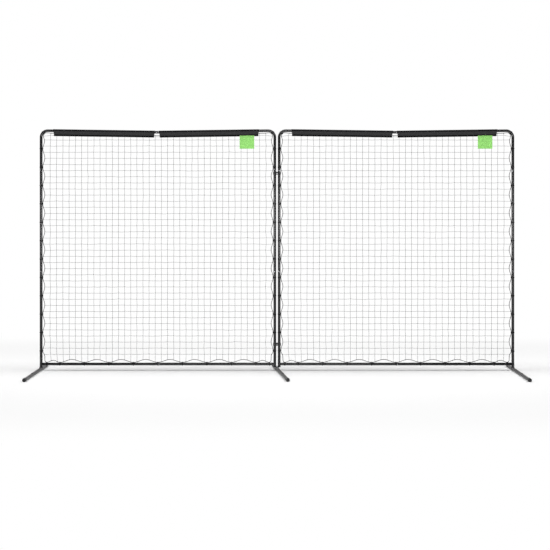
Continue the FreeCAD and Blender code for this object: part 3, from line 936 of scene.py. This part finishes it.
def pull_even(knots):
    """Moves each inner knot to the middle of its neighbours. The row in the sleeves keeps its height."""
    rise = knots[1:-1, 1:-1, 2] - amid_neighbours(knots)[:, :, 2]
    pulled = knots.copy()
    for _ in range(PULLS):
        around = amid_neighbours(pulled)
        pulled[1:-1, 1:-1, 0] = around[:, :, 0]
        pulled[1:-1, 1:-2, 2] = (around[:, :, 2] + rise)[:, :-1]
    return pulled


# %% A little uneven and billowing, as hand-tied net is
LOOSE, LOOSE_OUT = 0.0014, 0.0008
DRIFT, DRIFT_OUT = 0.003, 0.004
BILLOW = 0.007
KNOT_SEED = {"left": 11, "right": 12}


def hang_net(panel):
    """The knots' final places."""
    knots = pull_even(net_knots(panel))
    spread = np.random.default_rng(KNOT_SEED[panel.side])
    columns, rows = knots.shape[:2]
    loose = np.zeros((columns, rows))
    loose[1:-1, 1:-2] = 1
    for axis, amount in ((0, LOOSE), (2, LOOSE), (1, LOOSE_OUT)):
        knots[:, :, axis] += spread.normal(0, amount, (columns, rows)) * loose
    for i in range(1, columns - 1):
        for k in range(1, rows - 2):
            x, _, z = knots[i, k]
            bulge = math.sin(math.pi * i / (columns - 1)) * math.sin(math.pi * k / (rows - 1))
            drift = noise.noise_vector(Vector((x * 1.3, z * 1.3, columns)))
            moved = (drift.x * DRIFT, BILLOW + drift.y * DRIFT_OUT, drift.z * DRIFT)
            knots[i, k] += np.array(moved) * bulge
    return knots


knots_of = {panel.side: hang_net(panel) for panel in panels}
for panel in panels:
    knots = knots_of[panel.side]
    print(panel.side, "net:", knots.shape[0] - 1, "by", knots.shape[1] - 1, "cells")

# %% [markdown]
# Each twine runs right across the net. Between two knots it sags by a millimetre or two where it lies
# level, and bows a little where it hangs. At every crossing a short loop of twine makes the knot, and where
# a twine meets the edge rope it is hitched round it. Knots and hitches are one small ring, copied.

# %% A twine, and a loop of twine
TWINE_D = 0.0033
LOOP_R = 0.42 * TWINE_D
BOW = 0.0005


def twine_line(ends, spread, sag):
    """A twine through its knots, with two points between each pair."""
    points = [Vector(ends[0])]
    for a, b in zip(ends, ends[1:]):
        a, b = Vector(a), Vector(b)
        bow = Vector(spread.normal(0, BOW, 3)) + sag
        points += [a.lerp(b, 1 / 3) + bow, a.lerp(b, 2 / 3) + bow, b]
    return points


def one_loop(radius):
    """A ring of twine with few faces, round the X axis."""
    bpy.ops.mesh.primitive_torus_add(major_radius=radius, minor_radius=LOOP_R, major_segments=7,
                                     minor_segments=4, rotation=(0, math.pi / 2, 0))
    bpy.ops.object.transform_apply(location=False, rotation=True, scale=False)
    bpy.ops.object.shade_smooth()
    return bpy.context.object


# %% Where the loops go
def knot_places(knots, spread):
    """A ring across each crossing, leaning to one diagonal and then the other."""
    places = []
    for i in range(1, knots.shape[0] - 1):
        for k in range(1, knots.shape[1] - 1):
            lean = 45 if (i + k) % 2 else -45
            turn = Matrix.Rotation(math.radians(lean + spread.normal(0, 6)), 4, "Y")
            size = Matrix.Scale(1 + spread.normal(0, 0.05), 4)
            places.append(Matrix.Translation(knots[i, k]) @ turn @ size)
    return places


def hitch_places(panel, knots):
    """Two rings round the edge rope wherever a twine reaches it."""
    line = rope_lines[panel.side]
    places = []
    for place in np.concatenate([knots[0, 1:-1], knots[-1, 1:-1], knots[1:-1, 0], knots[1:-1, -1]]):
        nearest = np.argmin(np.linalg.norm(line - place, axis=1))
        way = Vector(line[(nearest + 1) % len(line)] - line[nearest - 1])
        turn = way.to_track_quat("X", "Z").to_matrix().to_4x4()
        for aside in (-0.5 * TWINE_D, 0.5 * TWINE_D):
            places.append(Matrix.Translation(place) @ turn @ Matrix.Translation((aside, 0, 0)))
    return places


# %% Nets in place
KNOT_R = 0.75 * TWINE_D
HITCH_R = ROPE_D / 2 + 0.3 * TWINE_D
SAG = 0.0016
TWINE_SEED = {"left": 21, "right": 22}

for panel in panels:
    knots = knots_of[panel.side]
    spread = np.random.default_rng(TWINE_SEED[panel.side])
    level, hanging = Vector((0, 0, -SAG)), Vector((0, 0, 0))
    lines = [twine_line(knots[:, k], spread, level) for k in range(1, knots.shape[1] - 1)]
    lines += [twine_line(knots[i, :], spread, hanging) for i in range(1, knots.shape[0] - 1)]
    twines = cord_mesh("twines", lines, TWINE_D)
    bpy.ops.object.shade_smooth()
    net = join([twines, place_copies(one_loop(KNOT_R), knot_places(knots, spread))])
    finish_piece(net, panel, "knotted_net", net_twine, "net")
    hitches = place_copies(one_loop(HITCH_R), hitch_places(panel, knots))
    finish_piece(hitches, panel, "net_hitches", net_twine)

# %% [markdown]
# A sleeve is one strip of cloth, folded over the top bar and the net's top rope and sewn together below.
# A flat grid is rolled into that shape, which keeps its weave straight. It lies tight on the bar, hangs in
# two layers below it, and puckers between the stitches. Solidify gives the cloth its thickness.

# %% The section of a sleeve
CLOTH_OUT = 0.0010
SEAM_DROP = 0.062
SEAM_HALF = 0.0007


def arc(radius, start, end, count):
    """Points of an arc round the bar in its section, with the angle counted from the back."""
    return [(radius * math.cos(a), radius * math.sin(a)) for a in np.linspace(start, end, count)]


def drop_outline(panel, count=400):
    """The folded strip's section, from its front edge over the bar to its back edge, evenly spaced."""
    radius = panel.tube_r + CLOTH_OUT
    angle = math.atan2(-SEAM_DROP, SEAM_HALF) + math.acos(radius / math.hypot(SEAM_HALF, SEAM_DROP))
    seam, touch = np.array((SEAM_HALF, -SEAM_DROP)), np.array(arc(radius, angle, angle, 1)[0])
    half = [(SEAM_HALF, -SLEEVE_DROP), seam - (0, 0.003), (SEAM_HALF * 1.3, -SEAM_DROP + 0.002)]
    half += [touch + (seam - touch) * k / 12 for k in range(11, 0, -1)]
    half = np.array(half + arc(radius, angle, math.pi / 2, 24))
    whole = np.vstack([half * (-1, 1), half[-2::-1]])
    steps = np.concatenate([[0], np.cumsum(np.linalg.norm(np.diff(whole, axis=0), axis=1))])
    even = np.linspace(0, steps[-1], count)
    return np.column_stack([np.interp(even, steps, whole[:, axis]) for axis in (0, 1)]), steps[-1]


print("a sleeve's strip is", round(drop_outline(panels[0])[1], 3), "m wide")

# %% How the cloth hangs, folds and ends
SWAY = 0.0035
END_CUT = 0.009
FINE_FOLD, WIDE_FOLD, SEAM_FOLD = 0.0011, 0.0016, 0.0015


def clamp(value, low=0, high=1):
    return min(max(value, low), high)


def uneven(*place):
    """A smooth random number, always the same for one place."""
    return noise.noise(Vector(place))


def sway(panel, x, depth):
    """How far the hanging cloth stands to the back or front at that depth under the bar."""
    return SWAY * clamp(depth / SLEEVE_DROP, high=1.2) ** 1.5 * uneven(x * 3.1, panel.x0, 5.0)


def beside_bar(panel, x, y, z):
    """Where a point of the cloth's section is in the frame, at that x."""
    return x, panel.y + y + sway(panel, x, -z), panel.arm_z(x) + z


def end_cut(z):
    """How far an end of the sleeve is drawn back at that height beside the bar, in a rounded slant."""
    return END_CUT * math.sin(math.pi / 2 * clamp(-z / SLEEVE_DROP))


def pucker(x, along, width):
    """Small folds across the strip, strongest half way down each side and none on top of the bar."""
    down = abs(along / width - 0.5) * 2
    back = float(along > width / 2)
    loose = max(0.0, math.sin(math.pi * clamp((down - 0.25) / 0.72)))
    fine = FINE_FOLD * uneven(x * 46, down * 2.6, back)
    wide = WIDE_FOLD * uneven(x * 15, down * 1.5, 7 + back)
    seam = SEAM_FOLD * max(0.0, down - 0.8) * uneven(x * 160, 0, back)
    return (fine + wide) * loose + seam


# %% A strip rolled to the section
CELL_LONG, CELL_ROUND = 0.0075, 0.0045


def rolled_grid(name, length, width, cell_x, cell_w):
    """A flat grid with a UV map in metres. Its points still hold their share of the length and width."""
    cells = round(length / cell_x), round(width / cell_w)
    bpy.ops.mesh.primitive_grid_add(x_subdivisions=cells[0], y_subdivisions=cells[1], size=1)
    grid = bpy.context.object
    grid.name = name
    flat = np.array([loop.uv for loop in grid.data.uv_layers.active.data])
    grid.data.uv_layers.active.data.foreach_set("uv", (flat * (length, width)).ravel())
    return grid


def sleeve(panel, start, stop):
    """The rolled cloth, with the length and width of its flat strip."""
    outline, width = drop_outline(panel)
    length = (stop - start) / math.cos(panel.slope)
    cloth = rolled_grid("sleeve", length, width, CELL_LONG, CELL_ROUND)
    for vert in cloth.data.vertices:
        at = (vert.co.y + 0.5) * (len(outline) - 1)
        k = min(int(at), len(outline) - 2)
        ahead = outline[k + 1] - outline[k]
        y, z = outline[k] + ahead * (at - k)
        x = panel.x0 + start + (vert.co.x + 0.5) * (stop - start) - 2 * vert.co.x * end_cut(z)
        outwards = np.array([-ahead[1], ahead[0]]) / np.linalg.norm(ahead)
        y, z = np.array([y, z]) + outwards * pucker(x, (vert.co.y + 0.5) * width, width)
        vert.co = beside_bar(panel, x, y, z)
    return cloth, length, width


# %% [markdown]
# The photograph shows each sleeve grey, with a black line along its top and its lower edge. The lower one
# is a tape folded round the hem. The upper one is painted shade, where the cloth turns away over the bar:
# a black tape laid over the fold. Both are a strip rolled to a section, as the sleeve is. Stitches hold
# them. A stitch is a tiny stretched bead, and hundreds of copies make a row.

# %% Sections of the tapes
CLOTH_T = 0.0011
TAPE_T = 0.0008
TAPE_LOW = 0.004
BIND_HIGH = 0.020
BIND_OUT = 0.0012


def face_at(panel, z):
    """How far the hanging cloth's front face lies before the net's plane at that height beside the bar."""
    outline, _ = drop_outline(panel)
    front = outline[:len(outline) // 2]
    return float(np.interp(z, front[:, 1], front[:, 0]))


def hem_section(panel):
    """The binding's section from front to back, folded round the sleeve's lower edge."""
    heights = [z - SLEEVE_DROP for z in (BIND_HIGH, 0.016, 0.012, 0.008, 0.005, 0.0015)]
    half = [(face_at(panel, z) - BIND_OUT, z) for z in heights] + [(-0.0012, -0.0002 - SLEEVE_DROP)]
    return half + [(0, -0.0008 - SLEEVE_DROP)] + [(-y, z) for y, z in reversed(half)]


def fold_section(panel):
    """The top tape's section, a black strip of painted shade: an arc that lies on the cloth over the bar.
    """
    radius = panel.tube_r + CLOTH_OUT + (CLOTH_T + TAPE_T) / 2 + 0.0002
    low = -math.asin(TAPE_LOW / radius)
    return [(-y, z) for y, z in arc(radius, low, math.pi - low, 19)]


# %% Tapes that follow the cloth's folds
TAPE_LONGER = 0.003
RIPPLE = 0.0003


def follow_folds(panel, section):
    """A function that moves a section's points out or in with the cloth's small folds at any x."""
    outline, width = drop_outline(panel)
    ahead = np.gradient(outline, axis=0)
    outwards = np.column_stack([-ahead[:, 1], ahead[:, 0]]) / np.linalg.norm(ahead, axis=1)[:, None]
    spots = [int(np.argmin(np.linalg.norm(outline - point, axis=1))) for point in section]

    def moved(x, k):
        along = width * spots[k] / (len(outline) - 1)
        return np.array(section[k]) + outwards[spots[k]] * pucker(x, along, width)

    return moved


def tape_along(panel, start, stop, section):
    """A tape with that section, as long as a sleeve and a little over."""
    length = (stop - start) / math.cos(panel.slope)
    steps = [math.dist(a, b) for a, b in zip(section, section[1:])]
    tape = rolled_grid("tape", length, sum(steps), CELL_LONG, sum(steps) / len(steps))
    moved = follow_folds(panel, section)
    for vert in tape.data.vertices:
        k = round((vert.co.y + 0.5) * len(steps))
        reach = stop - start + TAPE_LONGER - 2 * end_cut(section[k][1])
        x = panel.x0 + (start + stop) / 2 + vert.co.x * reach
        y, z = moved(x, k)
        vert.co = beside_bar(panel, x, y, z)
        vert.co.z += RIPPLE * uneven(x * 70, 3, 1)
    modify(tape, "SOLIDIFY", thickness=TAPE_T, offset=0)
    clean(tape)
    return tape


# %% Stitches
STITCH_PITCH = 0.006
STITCH_SIZE = 0.00035, 0.00045, 0.0021


def one_stitch():
    """A stretched bead along X."""
    bpy.ops.mesh.primitive_uv_sphere_add(segments=6, ring_count=4, radius=1, rotation=(0, math.pi / 2, 0))
    stitch = bpy.context.object
    stitch.scale = STITCH_SIZE
    bpy.ops.object.transform_apply(location=False, rotation=True, scale=True)
    bpy.ops.object.shade_smooth()
    return stitch


def stitch_rows(panel, start, stop, fold):
    """Two rows on each face of the binding, and one along each edge of the top tape of painted shade."""
    rows = []
    for z in (0.0035 - SLEEVE_DROP, BIND_HIGH - 0.0025 - SLEEVE_DROP):
        out = face_at(panel, z) - BIND_OUT - TAPE_T / 2
        rows += [(out, z), (-out, z)]
    rows += [(y * 1.03, z * 1.03) for y, z in (fold[1], fold[-2])]
    moved = follow_folds(panel, rows)
    places = []
    for row, (_, z) in enumerate(rows):
        first, last = start + end_cut(z), stop - end_cut(z)
        for k in range(int((last - first) / STITCH_PITCH)):
            x = panel.x0 + first + (k + 0.5) * STITCH_PITCH
            y, z = moved(x, row)
            slope = panel.slope if x < panel.mid else -panel.slope
            turn = Matrix.Rotation(slope, 4, "Y")
            places.append(Matrix.Translation(beside_bar(panel, x, y, z)) @ turn)
    return places


# %% Sleeves in place
SLEEVE_ENDS = (0.155, 1.437), (1.493, 2.757)

for panel in panels:
    for post, (start, stop) in zip((panel.first, panel.last), SLEEVE_ENDS):
        name = post + "_sleeve"
        cloth, length, width = sleeve(panel, start, stop)
        modify(cloth, "SOLIDIFY", thickness=CLOTH_T, offset=0)
        clean(cloth)
        finish_piece(cloth, panel, name + "_cloth", sleeve_cloth, name)
        # The binding is a real tape. The black of the top tape over the fold is painted shade.
        for word, section in (("binding", hem_section(panel)), ("top_shade_tape", fold_section(panel))):
            tape = tape_along(panel, start, stop, section)
            finish_piece(tape, panel, f"{name}_{word}", hem_and_shade_tape)
        rows = place_copies(one_stitch(), stitch_rows(panel, start, stop, fold_section(panel)))
        finish_piece(rows, panel, name + "_stitches", thread)
        print(cloth.name, "strip", round(length, 3), "by", round(width, 3))

# %% [markdown]
# Under each sleeve hangs a small green cloth tag, sewn to the binding along its top. Its other edges are
# free, so a short cloth simulation lets it settle with the slight folds of real cloth. Then it is moved
# forward a little, to lie on the net's knots. Its face is left bare, with only a hem and its stitching.

# %% A tag before it settles
TAG_W = 0.185
TAG_H = 0.165
TAG_T = 0.0009
TAG_RIGHT = 2.697
TAG_TUCK = 0.009
TAG_CELL = 0.0046
TAG_NARROWER = 0.996
TAG_FORWARD = 0.0015
WAVE = 0.0022
WAVES = 1.3
WAVE_START = {"left": 0.6, "right": 2.2}


def tag_start(panel):
    """The cloth before it settles: hung from its top edge, a little wavy."""
    grid = rolled_grid("tag", TAG_W, TAG_H, TAG_CELL, TAG_CELL)
    right = panel.x0 + TAG_RIGHT
    left_z = panel.arm_z(right - TAG_W)
    top = left_z - SLEEVE_DROP - 0.0004 + TAG_TUCK
    pinned = grid.vertex_groups.new(name="sewn")
    for vert in grid.data.vertices:
        across, down = vert.co.x + 0.5, 0.5 - vert.co.y
        if down < TAG_TUCK / TAG_H:
            pinned.add([vert.index], 1, "REPLACE")
        wave = WAVE * down * math.sin(across * 2 * math.pi * WAVES + WAVE_START[panel.side])
        x = right - TAG_W + across * TAG_W * TAG_NARROWER
        z = top - down * TAG_H + (panel.arm_z(x) - left_z) * max(0, 1 - down)
        height = z - panel.arm_z(x)
        out = face_at(panel, height) - BIND_OUT - (TAPE_T + TAG_T) / 2 - 0.0002
        out += sway(panel, x, min(-height, SLEEVE_DROP))
        vert.co = (x, panel.y + out + wave - TAG_FORWARD * down, z)
    return grid


# %% Settling under its own weight
SETTLE_FRAMES = 30
CLOTH_SETTINGS = {
    "vertex_group_mass": "sewn", "quality": 8, "mass": 0.15, "tension_stiffness": 25,
    "compression_stiffness": 25, "bending_stiffness": 0.4, "air_damping": 3,
}


def settle(grid):
    """A short fall under gravity, with the sewn edge held."""
    only(grid)
    cloth = grid.modifiers.new("settle", "CLOTH")
    for name, value in CLOTH_SETTINGS.items():
        setattr(cloth.settings, name, value)
    cloth.collision_settings.use_collision = False
    cloth.point_cache.frame_end = SETTLE_FRAMES
    for frame_number in range(1, SETTLE_FRAMES + 1):
        bpy.context.scene.frame_set(frame_number)
    bpy.ops.object.modifier_apply(modifier=cloth.name)
    bpy.context.scene.frame_set(1)


# %% In front of the net's knots
TAG_LEAN = 0.025
TAG_GAP = 0.0003


def lay_on_net(panel, tag):
    """Moves the cloth below its sewn edge forward, until it clears the foremost knot behind it."""
    cloth = np.array([vert.co for vert in tag.data.vertices])
    hem = panel.arm_z(panel.x0 + TAG_RIGHT) - SLEEVE_DROP
    knots = knots_of[panel.side].reshape(-1, 3)
    behind = (knots[:, 0] > cloth[:, 0].min()) & (knots[:, 0] < cloth[:, 0].max())
    behind &= (knots[:, 2] > cloth[:, 2].min()) & (knots[:, 2] < hem)
    foremost = knots[behind, 1].min() - KNOT_R - LOOP_R - TAG_T / 2 - TAG_GAP
    ahead = max(0, cloth[cloth[:, 2] < hem - TAG_LEAN, 1].max() - foremost)
    for vert in tag.data.vertices:
        vert.co.y -= ahead * clamp((hem - vert.co.z) / TAG_LEAN)
    print(panel.side, "tag moved forward by", round(ahead * 1000, 1), "mm, off", int(behind.sum()), "knots")


# %% Where a tag's stitches are
TAG_HEM = 0.006


def tag_stitches(tag):
    """A row of stitches inside each edge, on the cloth's own surface."""
    cloth = np.array([vert.co for vert in tag.data.vertices])
    left, _, bottom = cloth.min(axis=0) + TAG_HEM
    right, _, top = cloth.max(axis=0) - TAG_HEM
    upright = Matrix.Rotation(math.pi / 2, 4, "Y")
    spots = []
    for k in range(int((right - left) / STITCH_PITCH)):
        spots += [(left + (k + 0.5) * STITCH_PITCH, z, Matrix()) for z in (bottom, top)]
    for k in range(int((top - bottom) / STITCH_PITCH)):
        spots += [(x, bottom + (k + 0.5) * STITCH_PITCH, upright) for x in (left, right)]
    places = []
    for x, z, turn in spots:
        near = np.argsort(np.hypot(cloth[:, 0] - x, cloth[:, 2] - z))[:4]
        front = cloth[near, 1].mean() - TAG_T / 2 - 0.0002
        places.append(Matrix.Translation((x, front, z)) @ turn)
    return places


# %% Tags in place
for panel in panels:
    tag = tag_start(panel)
    settle(tag)
    tag.vertex_groups.clear()
    lay_on_net(panel, tag)
    stitched = tag_stitches(tag)
    modify(tag, "SOLIDIFY", thickness=TAG_T, offset=0)
    modify(tag, "BEVEL", width=0.0003, segments=1, limit_method="ANGLE")
    clean(tag)
    finish_piece(tag, panel, "cloth_tag", tag_cloth, "tag")
    rows = place_copies(one_stitch(), stitched)
    finish_piece(rows, panel, "tag_stitches", tag_thread)
